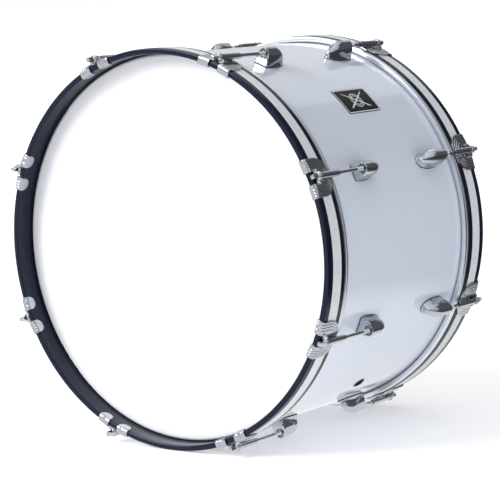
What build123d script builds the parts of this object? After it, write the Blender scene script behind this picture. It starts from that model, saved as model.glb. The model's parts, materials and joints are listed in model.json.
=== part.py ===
from build123d import *
import os
from math import cos, radians, sin

# A twenty-two inch bass drum with a shell about fourteen inches deep.
# The drum axis lies along Y, the front head faces -Y and +Z is up.
# The origin is on the floor under the middle of the drum, which rests on its two hoops.
#
# Most pieces are drawn once, in a "side frame": Y = 0 is the open edge of that side's hoop,
# +Y runs towards the middle of the drum, the drum axis is at Z = 0, and a piece that repeats
# round the drum is drawn at the top. place() then puts it on the front or the rear side.

# ---- driving sizes, in millimetres ----
DEPTH_OVER_HOOPS = 409.0
SHELL_RADIUS = 282.0
WRAP_THICKNESS = 0.5
PLY_THICKNESS = 6.0
EDGE_SETBACK = 3.0             # bearing edge apex, inwards from the outside of the plies
WRAP_SETBACK = 5.0             # the wrap stops this far short of the bearing edge
HEAD_SETBACK = 31.0            # hoop edge to the playing face
FILM_THICKNESS = 0.5
HOOP_WIDTH = 41.0
HOOP_OUTER = 292.0
HOOP_INNER = 283.5
HOOP_EDGE_ROUND = 2.2
HOOP_BACK_ROUND = 1.5
STRIPE_FROM = 11.3             # inlaid stripe, measured from the hoop's open edge
STRIPE_TO = 31.8
STRIPE_DEPTH = 0.8
FLESH_HOOP_HEIGHT = 8.7
FLESH_HOOP_INNER = 283.5
FLESH_HOOP_OUTER = 291.0
FLESH_HOOP_ROUND = 1.2
RIM_RISE = 3.0                 # rim of the film, above the bottom of the flesh hoop
RIM_WIDTH = 3.7

STATIONS = 8                   # claws, rods and lugs on each side
FIRST_ANGLE = 22.5             # first station, from the top towards +X
ROD_LINE = 300.0               # distance of each tension rod from the drum axis
ROD_RADIUS = 2.8
ROD_HEAD_TOP = -9.0
ROD_FLANGE_FROM = 2.5
ROD_FLANGE_TO = 4.4
ROD_FLANGE_RADIUS = 6.0
ROD_PAST_LUG_FACE = 30.0       # how far the rod reaches into its lug
HEAD_SQUARE = 6.2
WASHER_RADIUS = 6.5
WASHER_BORE_RADIUS = 3.3

LUG_FACE = {"front": 111.0, "rear": 84.0}    # hoop edge to the lugs' rod side
LUG_LENGTH = 50.0
LUG_WIDTH = 27.0
LUG_TOP = 308.5
LUG_NOSE_TOP = 299.0           # the crown falls to this radius at the nose
LUG_CROWN = 12.0               # radius of the arched top
LUG_NOSE_ROUND = 12.0          # corner radius of the nose, seen from above
LUG_LEVEL_SHARE = 0.6          # share of the length along which the crown is level
LUG_CROWN_BEND = 25.0          # radius where the crown turns down
LUG_NOSE_BEND = 5.0            # radius at the top of the nose
LUG_SKIRT = 3.0                # upright part of the sides, above the foot
LUG_POCKET_FROM = 15.0         # hollow under the crown, measured from the rod side
LUG_POCKET_TO = 33.0
LUG_POCKET_WIDTH = 15.0
LUG_POCKET_CORNER = 3.0
GASKET_THICKNESS = 1.2
SCREW_RADIUS = 1.95
SCREW_HOLE_RADIUS = 2.6
SCREW_TIP = 293.0
SCREW_HEAD_RADIUS = 4.3
SCREW_HEAD_HEIGHT = 2.7
SCREW_WASHER_RADIUS = 6.0
SCREW_WASHER_THICKNESS = 1.2
NUT_RADIUS = 4.6
NUT_BORE = 2.88
NUT_LENGTH = 22.0
NUT_COLLAR_RADIUS = 5.6
NUT_COLLAR = (1.6, 3.0)        # from and to, behind the lug's rod side
CLIP_RADIUS = 6.0
CLIP_FROM = 5.7                # behind the lug's rod side
CLIP_THICKNESS = 1.2

CLAW_GAP = 0.3                 # clearance between the claw plate and the hoop
CLAW_PLATE = 2.0
WING_HALF_WIDTH = 28.3
WING_STRAIGHT = 18.0           # where the wing's straight side turns into its round end
WING_ROUND = 23.0
NOTCH_HALF_WIDTH = 8.8         # open slot between the two hooks
NOTCH_BACK = 6.0
TAB_LENGTH = 13.0
WINDOW_WIDTH = 6.0             # openings through the saddle on both sides of the web
WINDOW_LENGTH = 8.0
WINDOW_CORNER = 1.5
BRACKET_HALF_WIDTH = 11.0
BRACKET_THICKNESS = 2.5
BRACKET_TOP_RADIUS = 6.3
WEB_THICKNESS = 6.0
TUBE_RADIUS = 4.75
TUBE_BORE = 3.2
TUBE_END = 55.0

BADGE_ANGLE = 44.3
BADGE_LENGTH = 81.0            # along the drum axis
BADGE_WIDTH = 46.5             # round the shell
BADGE_THICKNESS = 1.0
BADGE_CORNER = 3.0
BADGE_OFFSET = 16.0            # from mid depth towards the rear
VENT_ANGLE = 140.6
VENT_OFFSET = 22.0
VENT_HOLE_RADIUS = 6.0
VENT_FLANGE_RADIUS = 9.5
VENT_WALL = 1.1                # thickness of the eyelet's tube
VENT_FLANGE_FROM = 0.2         # flange, above the wrap
VENT_FLANGE_TO = 1.6

FIT = 0.1                      # clearance between pieces that touch
OVERCUT = 5.0                  # how far a cutting shape reaches past what it cuts

# ---- sizes worked out from the driving ones ----
HALF_DEPTH = DEPTH_OVER_HOOPS / 2
AXIS_HEIGHT = HOOP_OUTER
PLY_OUTER = SHELL_RADIUS - WRAP_THICKNESS
PLY_INNER = PLY_OUTER - PLY_THICKNESS
FILM_BACK = HEAD_SETBACK + FILM_THICKNESS
EDGE_APEX = FILM_BACK + 0.3    # the bearing edge, just under the film
COLLAR_RADIUS = SHELL_RADIUS + 0.6
SHOULDER = 4.5                 # inner radius of the film's bend over the bearing edge
FLESH_HOOP_BACK = HOOP_WIDTH + FLESH_HOOP_HEIGHT
RIM_TOP = HOOP_WIDTH + RIM_RISE
LUG_BASE = SHELL_RADIUS + GASKET_THICKNESS
LUG_ROOT = LUG_BASE - OVERCUT  # lugs are drawn down to here, then cut to the shell's curve
POST_ROWS = (9.5, LUG_LENGTH - 11.0)             # screw rows, behind the lug's rod side
SCREW_SEAT = PLY_INNER - FIT - SCREW_WASHER_THICKNESS
CLAW_INNER = HOOP_OUTER + CLAW_GAP
CLAW_OUTER = CLAW_INNER + CLAW_PLATE
WING_END = WING_STRAIGHT + WING_ROUND
ANGLES = [FIRST_ANGLE + 360.0 / STATIONS * k for k in range(STATIONS)]


def on_side(side):
    """The side frame of the front or the rear of the drum."""
    turn = Rot(0, 0, 180) if side == "rear" else Rot(0, 0, 0)
    return Pos(0, 0, AXIS_HEIGHT) * turn * Pos(0, -HALF_DEPTH, 0)


def place(side, angle):
    """The side frame turned round the drum axis to one station."""
    turn = Rot(0, 0, 180) if side == "rear" else Rot(0, 0, 0)
    return Pos(0, 0, AXIS_HEIGHT) * Rot(0, angle, 0) * turn * Pos(0, -HALF_DEPTH, 0)


def place_lug(side, angle):
    """The side frame at one station, moved so that Y = 0 is the rod side of the lug there."""
    return place(side, angle) * Pos(0, LUG_FACE[side], 0)


def band(r0, r1, y0, y1):
    """A rectangle of the drum's cross-section: radius across, depth up."""
    return Pos((r0 + r1) / 2, (y0 + y1) / 2) * Rectangle(r1 - r0, y1 - y0)


def turned(profile):
    """A cross-section turned once round the drum axis."""
    return revolve(profile, Axis.Y, 360)


def upright(plan, r0, r1):
    """A plan outline (across, along the drum) raised from radius r0 to r1."""
    return Pos(0, 0, r0) * extrude(plan, r1 - r0)


def along_rod(radius, y0, y1, r_line=ROD_LINE):
    """A cylinder parallel to the drum axis, on the rod line of the top station."""
    return Pos(0, (y0 + y1) / 2, r_line) * Rot(90, 0, 0) * Cylinder(radius, y1 - y0)


def along_radius(radius, y, r0, r1):
    """A cylinder that points out from the drum axis at depth y of the top station."""
    return Pos(0, y, (r0 + r1) / 2) * Cylinder(radius, r1 - r0)


# ---- shell ----
def shell_holes():
    """Every hole through the shell: lug screws, and the air vent."""
    holes = []
    for side in ("front", "rear"):
        for angle in ANGLES:
            for y in POST_ROWS:
                drill = along_radius(SCREW_HOLE_RADIUS, y, PLY_INNER - OVERCUT, SHELL_RADIUS + OVERCUT)
                holes.append(place_lug(side, angle) * drill)
    vent_radius = VENT_HOLE_RADIUS + VENT_WALL + FIT
    vent = along_radius(vent_radius, HALF_DEPTH + VENT_OFFSET, PLY_INNER - OVERCUT, SHELL_RADIUS + OVERCUT)
    holes.append(place("front", VENT_ANGLE) * vent)
    return holes


def shell_plies():
    """The wooden tube, with a bearing edge cut on each end."""
    apex_radius = PLY_OUTER - EDGE_SETBACK
    tube = turned(band(PLY_INNER, PLY_OUTER, EDGE_APEX, DEPTH_OVER_HOOPS - EDGE_APEX))
    bevel = Polyline(
        (PLY_INNER - 1, EDGE_APEX - 1),
        (apex_radius + 1, EDGE_APEX - 1),
        (PLY_INNER - 1, EDGE_APEX + apex_radius - PLY_INNER + 1),
        close=True,
    )
    inner_cut = turned(make_face(bevel))
    corner = band(apex_radius, PLY_OUTER + 1, EDGE_APEX - 1, EDGE_APEX + EDGE_SETBACK)
    outer_cut = turned(corner - Pos(apex_radius, EDGE_APEX + EDGE_SETBACK) * Circle(EDGE_SETBACK))
    cuts = inner_cut + outer_cut
    mirrored = Pos(0, DEPTH_OVER_HOOPS, 0) * mirror(cuts, about=Plane.XZ)
    shell = on_side("front") * (tube - cuts - mirrored)
    return shell - shell_holes()


def shell_wrap():
    """The glossy covering round the outside of the plies."""
    start = EDGE_APEX + WRAP_SETBACK
    wrap = turned(band(PLY_OUTER, SHELL_RADIUS, start, DEPTH_OVER_HOOPS - start))
    return on_side("front") * wrap - shell_holes()


def badge_plate():
    """A plain badge plate, bent to the shell."""
    plan = Pos(0, HALF_DEPTH + BADGE_OFFSET) * RectangleRounded(BADGE_WIDTH, BADGE_LENGTH, BADGE_CORNER)
    reach = BADGE_OFFSET + BADGE_LENGTH
    skin = band(SHELL_RADIUS, SHELL_RADIUS + BADGE_THICKNESS, HALF_DEPTH - reach, HALF_DEPTH + reach)
    block = upright(plan, SHELL_RADIUS - OVERCUT, SHELL_RADIUS + OVERCUT)
    return place("front", BADGE_ANGLE) * (turned(skin) & block)


def vent_grommet():
    """The eyelet that lines the air hole."""
    y = HALF_DEPTH + VENT_OFFSET
    inner_from = PLY_INNER - VENT_FLANGE_TO
    inner_to = PLY_INNER - 0.3
    body = along_radius(VENT_HOLE_RADIUS + VENT_WALL, y, inner_to - 0.9, SHELL_RADIUS + 0.6)
    flange = along_radius(VENT_FLANGE_RADIUS, y, SHELL_RADIUS + VENT_FLANGE_FROM, SHELL_RADIUS + VENT_FLANGE_TO)
    inside = along_radius(VENT_FLANGE_RADIUS, y, inner_from, inner_to)
    bore = along_radius(VENT_HOLE_RADIUS, y, PLY_INNER - OVERCUT, SHELL_RADIUS + OVERCUT)
    return place("front", VENT_ANGLE) * (body + flange + inside - bore)


# ---- hoop, stripe and head of one side ----
def hoop(side):
    """The counter hoop: a flat ring with rounded edges and a shallow groove for its stripe."""
    profile = band(HOOP_INNER, HOOP_OUTER, 0, HOOP_WIDTH)
    profile = fillet(profile.vertices().group_by(Axis.Y)[0], HOOP_EDGE_ROUND)
    profile = fillet(profile.vertices().group_by(Axis.Y)[-1], HOOP_BACK_ROUND)
    profile -= band(HOOP_OUTER - STRIPE_DEPTH, HOOP_OUTER + 1, STRIPE_FROM, STRIPE_TO)
    return on_side(side) * turned(profile)


def stripe(side):
    """The pale strip laid in the hoop's groove."""
    return on_side(side) * turned(band(HOOP_OUTER - STRIPE_DEPTH, HOOP_OUTER, STRIPE_FROM, STRIPE_TO))


def head_film(side):
    """The drum head: a flat film, bent over the bearing edge into a collar with a turned-out rim."""
    bend = Pos(COLLAR_RADIUS - SHOULDER, FILM_BACK + SHOULDER)
    ring = bend * (Circle(SHOULDER + FILM_THICKNESS) - Circle(SHOULDER))
    corner = band(COLLAR_RADIUS - SHOULDER, COLLAR_RADIUS + 1, HEAD_SETBACK - 1, FILM_BACK + SHOULDER)
    profile = band(0, COLLAR_RADIUS - SHOULDER, HEAD_SETBACK, FILM_BACK)
    profile += ring & corner
    profile += band(COLLAR_RADIUS, COLLAR_RADIUS + FILM_THICKNESS, FILM_BACK + SHOULDER, RIM_TOP)
    profile += band(COLLAR_RADIUS, FLESH_HOOP_INNER + RIM_WIDTH, RIM_TOP, RIM_TOP + FILM_THICKNESS)
    return on_side(side) * turned(profile)


def flesh_hoop(side):
    """The metal ring that grips the rim of the head."""
    profile = band(FLESH_HOOP_INNER, FLESH_HOOP_OUTER, HOOP_WIDTH, FLESH_HOOP_BACK)
    profile = fillet(profile.vertices().group_by(Axis.Y)[-1], FLESH_HOOP_ROUND)
    slot_end = FLESH_HOOP_INNER + RIM_WIDTH + 2 * FIT
    slot = band(FLESH_HOOP_INNER - 1, slot_end, RIM_TOP - FIT, RIM_TOP + FILM_THICKNESS + FIT)
    return on_side(side) * turned(profile - slot)


# ---- claw ----
def wing_plan():
    """Outline of the claw's saddle, seen from outside the drum: two fans joined in the middle."""
    plan = Pos(0, WING_STRAIGHT / 2) * Rectangle(2 * WING_HALF_WIDTH, WING_STRAIGHT)
    for sign in (-1, 1):
        plan += Pos(sign * (WING_HALF_WIDTH - WING_ROUND), WING_STRAIGHT) * Circle(WING_ROUND)
    plan = plan & (Pos(0, WING_END / 2) * Rectangle(2 * WING_HALF_WIDTH, WING_END))
    plan -= Rectangle(2 * NOTCH_HALF_WIDTH, 2 * NOTCH_BACK)
    window_y = NOTCH_BACK + BRACKET_THICKNESS + 1.0 + WINDOW_LENGTH / 2
    for sign in (-1, 1):
        window_x = sign * (WEB_THICKNESS + WINDOW_WIDTH) / 2
        plan -= Pos(window_x, window_y) * RectangleRounded(WINDOW_WIDTH, WINDOW_LENGTH, WINDOW_CORNER)
    return plan


def hook_plan():
    """Outline of the two hooks: straight over the edge of the hoop, with a half-round end inside."""
    width = WING_HALF_WIDTH - NOTCH_HALF_WIDTH
    middle = (WING_HALF_WIDTH + NOTCH_HALF_WIDTH) / 2
    straight = TAB_LENGTH - width / 2
    front = -CLAW_GAP - CLAW_PLATE - 1
    plan = Sketch()
    for sign in (-1, 1):
        plan += Pos(sign * middle, (straight + front) / 2) * Rectangle(width, straight - front)
        plan += Pos(sign * middle, straight) * Circle(width / 2)
    return plan


def hook_section():
    """Cross-section of a hook: a strip that wraps round the hoop's open edge."""
    gap = CLAW_GAP
    outer = band(HOOP_INNER - gap - CLAW_PLATE, CLAW_OUTER, -gap - CLAW_PLATE, TAB_LENGTH + 1)
    bend = HOOP_EDGE_ROUND + gap
    outer = fillet(outer.vertices().group_by(Axis.Y)[0], bend + CLAW_PLATE)
    inner = band(HOOP_INNER - gap, CLAW_INNER, -gap, TAB_LENGTH + 2)
    inner = fillet(inner.vertices().group_by(Axis.Y)[0], bend)
    return outer - inner


def bracket():
    """The upright plate that the rod head bears on, with the rod tube and the web under it."""
    y0 = NOTCH_BACK
    y1 = NOTCH_BACK + BRACKET_THICKNESS
    foot = CLAW_INNER + 0.5
    plate = Pos(0, (y0 + y1) / 2, (foot + ROD_LINE + 2) / 2)
    plate = plate * Box(2 * BRACKET_HALF_WIDTH, BRACKET_THICKNESS, ROD_LINE + 2 - foot)
    round_top = along_rod(BRACKET_TOP_RADIUS, y0, y1)
    tube = along_rod(TUBE_RADIUS, y1, TUBE_END)
    back = WING_END - 3.0
    web = Pos(0, (y1 + back) / 2, (foot + ROD_LINE) / 2)
    web = web * Box(WEB_THICKNESS, back - y1, ROD_LINE - foot)
    return plate + round_top + tube + web


def claw():
    """A double claw: saddle, two hooks, and a bracket with a rod tube."""
    saddle = turned(band(CLAW_INNER, CLAW_OUTER, 3.0, WING_END))
    saddle = saddle & upright(wing_plan(), HOOP_INNER, HOOP_OUTER + 20)
    hooks = turned(hook_section()) & upright(hook_plan(), HOOP_INNER - 20, HOOP_OUTER + 20)
    body = saddle + hooks + bracket()
    return body - along_rod(TUBE_BORE, -OVERCUT, TUBE_END + OVERCUT)


# ---- tension rod and its washers ----
def tension_rod(side):
    """A tension rod: square key head, round flange and a long shank."""
    square_height = ROD_FLANGE_FROM - ROD_HEAD_TOP
    square = Pos(0, ROD_HEAD_TOP + square_height / 2, ROD_LINE)
    square = square * Box(HEAD_SQUARE, square_height, HEAD_SQUARE)
    flange = along_rod(ROD_FLANGE_RADIUS, ROD_FLANGE_FROM, ROD_FLANGE_TO)
    return square + flange + along_rod(ROD_RADIUS, ROD_FLANGE_TO, LUG_FACE[side] + ROD_PAST_LUG_FACE)


def rod_washer():
    """The washer between a rod flange and its claw."""
    y0 = ROD_FLANGE_TO + FIT
    return along_rod(WASHER_RADIUS, y0, NOTCH_BACK) - along_rod(WASHER_BORE_RADIUS, y0 - 1, NOTCH_BACK + 1)


# ---- lug, drawn with its rod side at Y = 0 ----
def lug_plan(shrink=0.0):
    """Outline of a lug's foot: straight at the rod side, well rounded at the nose."""
    width = LUG_WIDTH - 2 * shrink
    length = LUG_LENGTH - 2 * shrink
    plan = Pos(0, LUG_LENGTH / 2) * Rectangle(width, length)
    return fillet(plan.vertices().group_by(Axis.Y)[-1], LUG_NOSE_ROUND - shrink)


def lug_arch():
    """Cross-section of a lug: upright sides and a round crown."""
    half = LUG_WIDTH / 2
    crown_centre = LUG_TOP - LUG_CROWN
    sides = Polyline(
        (-half, LUG_ROOT),
        (half, LUG_ROOT),
        (half, LUG_BASE + LUG_SKIRT),
        (LUG_CROWN, crown_centre),
        (-LUG_CROWN, crown_centre),
        (-half, LUG_BASE + LUG_SKIRT),
        close=True,
    )
    return make_face(sides) + Pos(0, crown_centre) * Circle(LUG_CROWN)


def lug_flank():
    """Side view of a lug: a crown that falls gently towards a tall, blunt nose."""
    outline = make_face(
        Polyline(
            (0, LUG_ROOT),
            (LUG_LENGTH, LUG_ROOT),
            (LUG_LENGTH, LUG_NOSE_TOP),
            (LUG_LENGTH * LUG_LEVEL_SHARE, LUG_TOP),
            (0, LUG_TOP),
            close=True,
        )
    )
    crown = outline.vertices().group_by(Axis.Y)[-1]
    outline = fillet(crown.sort_by(Axis.X)[-1], LUG_CROWN_BEND)
    nose = outline.vertices().group_by(Axis.X)[-1].sort_by(Axis.Y)[-1]
    return fillet(nose, LUG_NOSE_BEND)


def lug_pocket():
    """The hollow under a lug's crown, open towards the shell."""
    plan = RectangleRounded(LUG_POCKET_WIDTH, LUG_POCKET_TO - LUG_POCKET_FROM, LUG_POCKET_CORNER)
    plan = Pos(0, (LUG_POCKET_FROM + LUG_POCKET_TO) / 2) * plan
    return upright(plan, LUG_ROOT - OVERCUT, ROD_LINE)


def lug_bores():
    """The stepped bore of a lug: collar seat, nut bore and the wider room for the clip."""
    seat = along_rod(NUT_COLLAR_RADIUS + 0.7, -1, NUT_COLLAR[1] + 0.05)
    nut_bore = along_rod(NUT_RADIUS + FIT, 0, CLIP_FROM)
    clip_room = along_rod(CLIP_RADIUS + 0.4, CLIP_FROM - 2 * FIT, LUG_POCKET_TO - 2)
    return [seat, nut_bore, clip_room]


def lug():
    """A hollow cast lug with two screw holes and a stepped bore for the swivel nut."""
    body = Pos(0, LUG_LENGTH, 0) * extrude(Plane.XZ * lug_arch(), LUG_LENGTH)
    body = body & extrude(Plane.YZ * lug_flank(), LUG_WIDTH, both=True)
    body = body & upright(lug_plan(), LUG_ROOT, LUG_TOP + OVERCUT)
    body = body - lug_pocket() - lug_bores()
    body = body - [along_radius(SCREW_RADIUS + FIT, y, LUG_ROOT - OVERCUT, SCREW_TIP + 0.5) for y in POST_ROWS]
    return body - turned(band(LUG_ROOT - 2 * OVERCUT, LUG_BASE, -OVERCUT, LUG_LENGTH + OVERCUT))


def lug_gasket():
    """The thin pad between a lug and the shell."""
    low, high = SHELL_RADIUS - OVERCUT, LUG_BASE + OVERCUT
    pad = turned(band(SHELL_RADIUS, LUG_BASE, -OVERCUT, LUG_LENGTH + OVERCUT))
    pad = pad & upright(lug_plan(0.5), low, high)
    return pad - [along_radius(SCREW_HOLE_RADIUS, y, low, high) for y in POST_ROWS]


def swivel_nut():
    """The threaded brass nut that sits in a lug."""
    collar = along_rod(NUT_COLLAR_RADIUS, *NUT_COLLAR)
    barrel = along_rod(NUT_RADIUS, NUT_COLLAR[0], NUT_LENGTH)
    return collar + barrel - along_rod(NUT_BORE, -OVERCUT, NUT_LENGTH + OVERCUT)


def nut_clip():
    """The spring ring that keeps the nut in the lug."""
    ring = along_rod(CLIP_RADIUS, CLIP_FROM, CLIP_FROM + CLIP_THICKNESS)
    return ring - along_rod(NUT_RADIUS + 0.05, 0, CLIP_FROM + OVERCUT)


def lug_screw(y):
    """A pan-head screw, driven outwards from inside the shell."""
    head = along_radius(SCREW_HEAD_RADIUS, y, SCREW_SEAT - SCREW_HEAD_HEIGHT, SCREW_SEAT)
    return head + along_radius(SCREW_RADIUS, y, SCREW_SEAT, SCREW_TIP)


def lug_screw_washer(y):
    """The washer under a lug screw."""
    disc = along_radius(SCREW_WASHER_RADIUS, y, SCREW_SEAT, PLY_INNER - FIT)
    return disc - along_radius(SCREW_RADIUS + 2 * FIT, y, PLY_INNER - OVERCUT, PLY_INNER + OVERCUT)


# ---- export ----
def group(pieces):
    """Several separate solids that share one node."""
    return Compound(children=[solid for piece in pieces for solid in piece.solids()])


def save(name, shape):
    """Write one node."""
    export_step(shape, os.path.join("parts", name + ".step"))


def build():
    os.makedirs("parts", exist_ok=True)
    both = ("front", "rear")
    save("shell_plies", shell_plies())
    save("shell_wrap", shell_wrap())
    save("badge_plate", badge_plate())
    save("vent_grommet", vent_grommet())

    claw_piece = claw()
    washer_piece = rod_washer()
    lug_piece = lug()
    for side in both:
        save(side + "_hoop", hoop(side))
        save(side + "_hoop_stripe", stripe(side))
        save(side + "_head", head_film(side))
        save(side + "_flesh_hoop", flesh_hoop(side))
        save(side + "_rod_washers", group([place(side, a) * washer_piece for a in ANGLES]))
        save(side + "_lugs", group([place_lug(side, a) * lug_piece for a in ANGLES]))
        rod_piece = tension_rod(side)
        for number, angle in enumerate(ANGLES, 1):
            save(f"{side}_claw_{number}", place(side, angle) * claw_piece)
            save(f"{side}_tension_rod_{number}", place(side, angle) * rod_piece)

    stations = [place_lug(side, a) for side in both for a in ANGLES]
    screws = [s * lug_screw(y) for s in stations for y in POST_ROWS]
    screw_washers = [s * lug_screw_washer(y) for s in stations for y in POST_ROWS]
    save("lug_gaskets", group([s * lug_gasket() for s in stations]))
    save("swivel_nuts", group([s * swivel_nut() for s in stations]))
    save("nut_clips", group([s * nut_clip() for s in stations]))
    save("lug_screws", group(screws))
    save("lug_screw_washers", group(screw_washers))


build()
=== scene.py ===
import json
from math import atan2, cos, hypot, pi, radians, sin, sqrt

import bmesh
import bpy
from mathutils import Matrix, Vector

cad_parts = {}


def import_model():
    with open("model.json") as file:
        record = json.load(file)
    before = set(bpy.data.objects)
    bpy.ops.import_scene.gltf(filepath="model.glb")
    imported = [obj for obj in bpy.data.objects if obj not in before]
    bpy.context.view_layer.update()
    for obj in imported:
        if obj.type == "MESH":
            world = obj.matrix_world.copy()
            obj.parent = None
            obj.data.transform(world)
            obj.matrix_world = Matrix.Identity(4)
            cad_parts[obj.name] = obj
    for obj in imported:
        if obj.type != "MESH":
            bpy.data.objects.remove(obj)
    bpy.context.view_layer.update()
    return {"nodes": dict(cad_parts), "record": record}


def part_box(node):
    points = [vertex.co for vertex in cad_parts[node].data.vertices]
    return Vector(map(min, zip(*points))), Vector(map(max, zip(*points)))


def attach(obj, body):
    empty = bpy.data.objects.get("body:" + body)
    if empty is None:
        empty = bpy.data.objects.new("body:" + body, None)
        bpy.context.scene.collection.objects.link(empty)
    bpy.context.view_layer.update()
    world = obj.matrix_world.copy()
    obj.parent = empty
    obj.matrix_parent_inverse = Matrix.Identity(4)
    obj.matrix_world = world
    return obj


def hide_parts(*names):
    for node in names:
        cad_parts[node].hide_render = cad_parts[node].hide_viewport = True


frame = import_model()

# Shapes below are drawn in millimetres in a "side frame" and scaled once when they are placed.
# In it Y = 0 is the open edge of that side's hoop, +Y runs towards mid drum, the drum axis is
# X = Z = 0, and a piece that repeats round the drum is drawn at the top.
MM = 0.001
SIDES = ("front", "rear")

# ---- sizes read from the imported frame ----
hoop_low, hoop_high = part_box("front_hoop")
flesh_low, flesh_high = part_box("front_flesh_hoop")
shell_low, shell_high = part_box("shell_wrap")
lug_low, lug_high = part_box("front_lugs")
rod_low, rod_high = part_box("front_tension_rod_1")
AXIS_HEIGHT = (hoop_low.z + hoop_high.z) / 2 / MM
HALF_DEPTH = -hoop_low.y / MM
HOOP_OUTER = (hoop_high.x - hoop_low.x) / 2 / MM
HOOP_WIDTH = (hoop_high.y - hoop_low.y) / MM
FLESH_HOOP_OUTER = (flesh_high.x - flesh_low.x) / 2 / MM
FLESH_HOOP_BACK = HOOP_WIDTH + (flesh_high.y - flesh_low.y) / MM
SHELL_RADIUS = (shell_high.x - shell_low.x) / 2 / MM
ROD_X = (rod_low.x + rod_high.x) / 2 / MM
ROD_Z = (rod_low.z + rod_high.z) / 2 / MM - AXIS_HEIGHT
ROD_LINE = hypot(ROD_X, ROD_Z)
ROD_HEAD_TOP = rod_low.y / MM + HALF_DEPTH
STATIONS = 8
FIRST_ANGLE = atan2(ROD_X, ROD_Z)
LUG_LENGTH = (lug_high.y - lug_low.y) / MM
LUG_FACE = {
    "front": lug_low.y / MM + HALF_DEPTH,
    "rear": HALF_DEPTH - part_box("rear_lugs")[1].y / MM,
}
TUBE_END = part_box("front_claw_1")[1].y / MM + HALF_DEPTH

# ---- sizes of the drum's standard pieces ----
HOOP_THICKNESS = 8.5
HOOP_INNER = HOOP_OUTER - HOOP_THICKNESS
HOOP_EDGE_ROUND = 2.2
HOOP_BACK_ROUND = 1.5
STRIPE_FROM, STRIPE_TO = 11.3, 31.8
STRIPE_DEPTH = 0.8
CLAW_INNER = HOOP_OUTER + 0.3
CLAW_PLATE = 2.0
LUG_TOP = 308.5
LUG_HEIGHT = LUG_TOP - SHELL_RADIUS


# ---- placing ----
def side_matrix(side, angle=0.0):
    """The place of a side frame in the shared frame, turned round the drum axis by angle."""
    turn = pi if side == "rear" else 0.0
    return (
        Matrix.Translation((0, 0, AXIS_HEIGHT * MM))
        @ Matrix.Rotation(angle, 4, "Y")
        @ Matrix.Rotation(turn, 4, "Z")
        @ Matrix.Translation((0, -HALF_DEPTH * MM, 0))
    )


def station_angle(number):
    """Angle from the top to one of the rods round the drum."""
    return FIRST_ANGLE + 2 * pi / STATIONS * (number - 1)


# ---- mesh helpers ----
MERGE_WITHIN = 1e-6   # metres
TURNED_SIDES = 256
ROD_SIDES = 32


def make_mesh(name, points, faces, sharp=30.0):
    """A closed mesh from points in millimetres, smooth except across sharp edges."""
    mesh = bpy.data.meshes.new(name)
    mesh.from_pydata([Vector(p) * MM for p in points], [], faces)
    mesh.validate()
    tool = bmesh.new()
    tool.from_mesh(mesh)
    bmesh.ops.remove_doubles(tool, verts=tool.verts, dist=MERGE_WITHIN)
    bmesh.ops.recalc_face_normals(tool, faces=tool.faces)
    tool.to_mesh(mesh)
    tool.free()
    mesh.shade_smooth()
    mesh.set_sharp_from_angle(angle=radians(sharp))
    return mesh


class Shape:
    """Collects points and faces of one mesh."""

    def __init__(self):
        self.points = []
        self.faces = []

    def loops(self, rings, closed_across=False, cap_start=False, cap_end=False):
        """Joins rings of equal length into a skin. Each ring is closed."""
        first = len(self.points)
        count = len(rings[0])
        for ring in rings:
            self.points.extend(ring)
        rows = len(rings) if closed_across else len(rings) - 1
        for row in range(rows):
            a = first + row * count
            b = first + (row + 1) % len(rings) * count
            for k in range(count):
                n = (k + 1) % count
                self.faces.append((a + k, a + n, b + n, b + k))
        if cap_start:
            self.faces.append(tuple(first + k for k in range(count)))
        if cap_end:
            last = first + (len(rings) - 1) * count
            self.faces.append(tuple(last + k for k in range(count)))

    def mesh(self, name, sharp=30.0):
        """The finished mesh, with edges sharper than an angle in degrees left sharp."""
        return make_mesh(name, self.points, self.faces, sharp)


def add_piece(name, mesh, matrix, body, slot, *replaced):
    """Puts a copy of a mesh on a body, in a slot's finish, in place of the replaced CAD nodes."""
    placed = mesh.copy()
    placed.transform(matrix)
    placed.materials.clear()
    placed.materials.append(MATERIALS[slot])
    piece = bpy.data.objects.new(name, placed)
    bpy.context.scene.collection.objects.link(piece)
    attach(piece, body)
    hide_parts(*replaced)


def arc(cx, cy, radius, start, end, steps):
    """Points of an arc, angles in degrees."""
    return [
        (
            cx + radius * cos(radians(start + (end - start) * k / steps)),
            cy + radius * sin(radians(start + (end - start) * k / steps)),
        )
        for k in range(steps + 1)
    ]


def turned(profile):
    """A closed profile of (radius, depth) turned round the drum axis."""
    shape = Shape()
    rings = []
    for k in range(TURNED_SIDES):
        a = 2 * pi * k / TURNED_SIDES
        rings.append([(r * sin(a), y, r * cos(a)) for r, y in profile])
    shape.loops(rings, closed_across=True)
    return shape


def rod_ring(radius, y, power=2.0):
    """A ring round the rod line: a circle, or nearly a square with a high power."""
    ring = []
    for k in range(ROD_SIDES):
        a = 2 * pi * k / ROD_SIDES
        c, s = cos(a), sin(a)
        stretch = (abs(c) ** power + abs(s) ** power) ** (-1 / power)
        ring.append((radius * stretch * c, y, ROD_LINE + radius * stretch * s))
    return ring


# ---- material helpers ----
NOISE_FROM, NOISE_TO = 0.3, 0.7      # most of a noise lies between these
TINT_FROM, TINT_TO = 0.35, 0.65


def new_material(name, color, roughness, metallic=0.0):
    """A material with its node tree and its main shader."""
    material = bpy.data.materials.new(name)
    material.use_nodes = True
    shader = material.node_tree.nodes["Principled BSDF"]
    shader.inputs["Base Color"].default_value = (*color, 1)
    shader.inputs["Roughness"].default_value = roughness
    shader.inputs["Metallic"].default_value = metallic
    return material, material.node_tree, shader


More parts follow.
